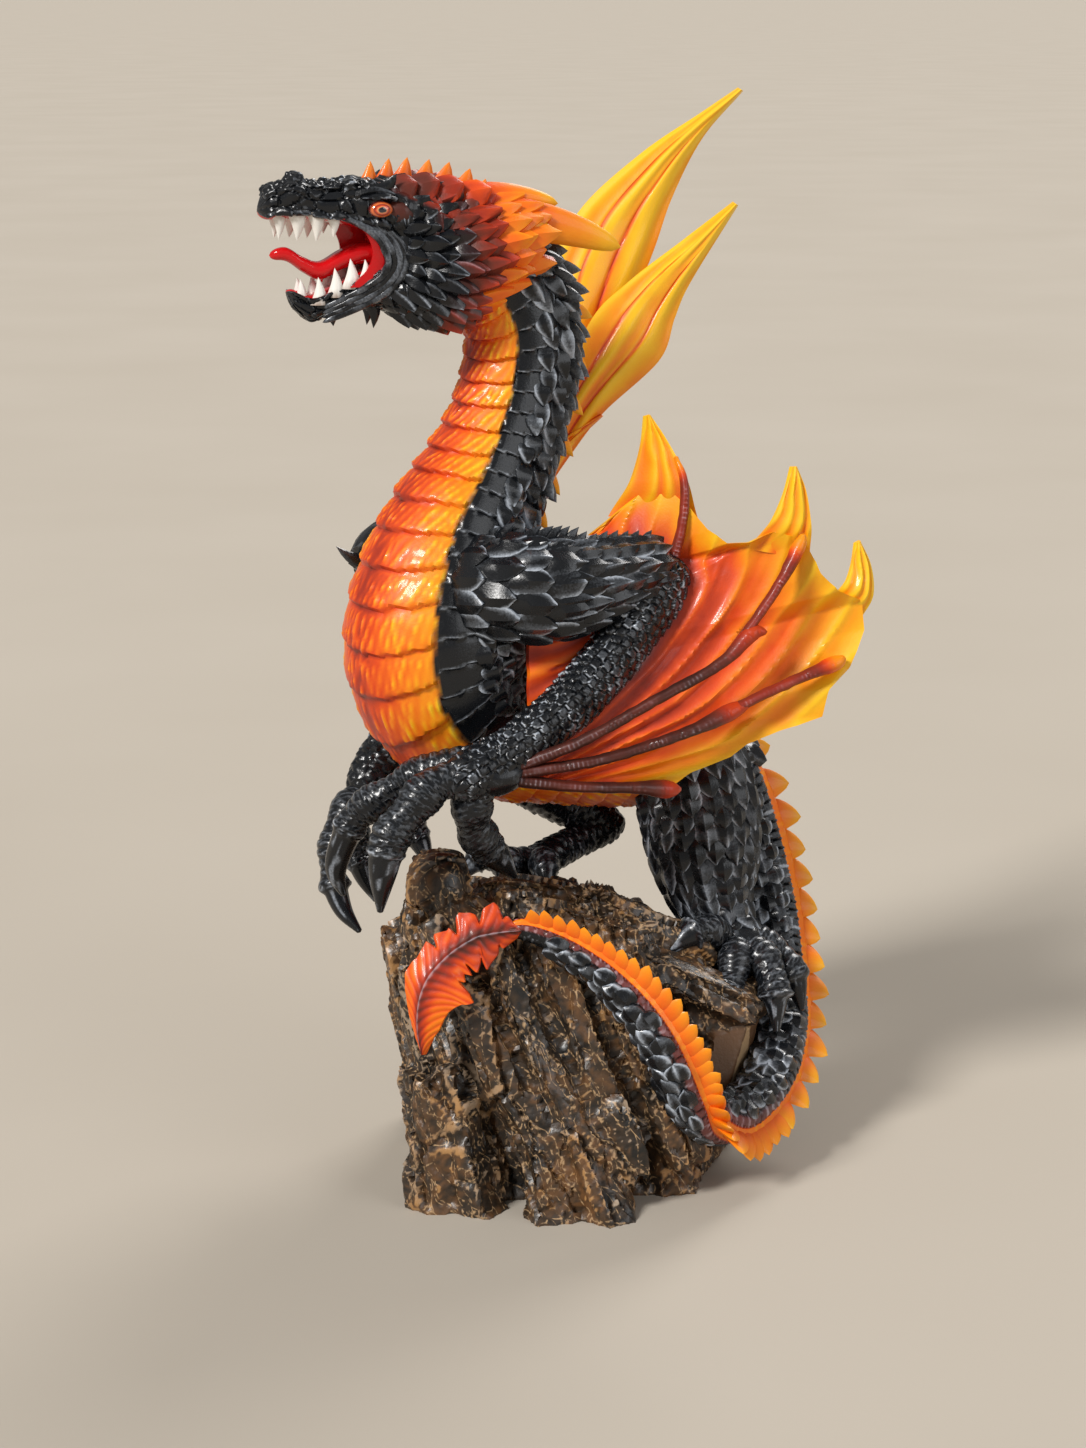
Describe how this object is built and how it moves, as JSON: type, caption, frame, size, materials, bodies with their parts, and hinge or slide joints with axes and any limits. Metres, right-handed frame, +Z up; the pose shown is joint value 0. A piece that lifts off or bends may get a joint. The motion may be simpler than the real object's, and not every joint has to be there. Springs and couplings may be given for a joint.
{
  "type": "dragon statue",
  "caption": "Cast and painted figurine of a winged dragon gripping a rock plinth, its ridged tail curling round the rock to a leaf-shaped tip.",
  "frame": {"origin": "on the plinth's flat underside, below the figure's middle", "axes": "+Z up, the dragon's head faces -X, its near wing and the tail's tip are on the -Y side"},
  "size_m": [0.1675, 0.1475, 0.2975],
  "materials": {
    "painted_resin": "cast resin, black gloss paint with silver brushed edges, red to yellow belly, wings, crest and spikes",
    "rock": "cast resin, near-black bronze gloss paint with gold-brown brushed edges"
  },
  "bodies": {
    "root": {"dragon": "painted_resin", "rock_base": "rock"}
  },
  "joints": []
}
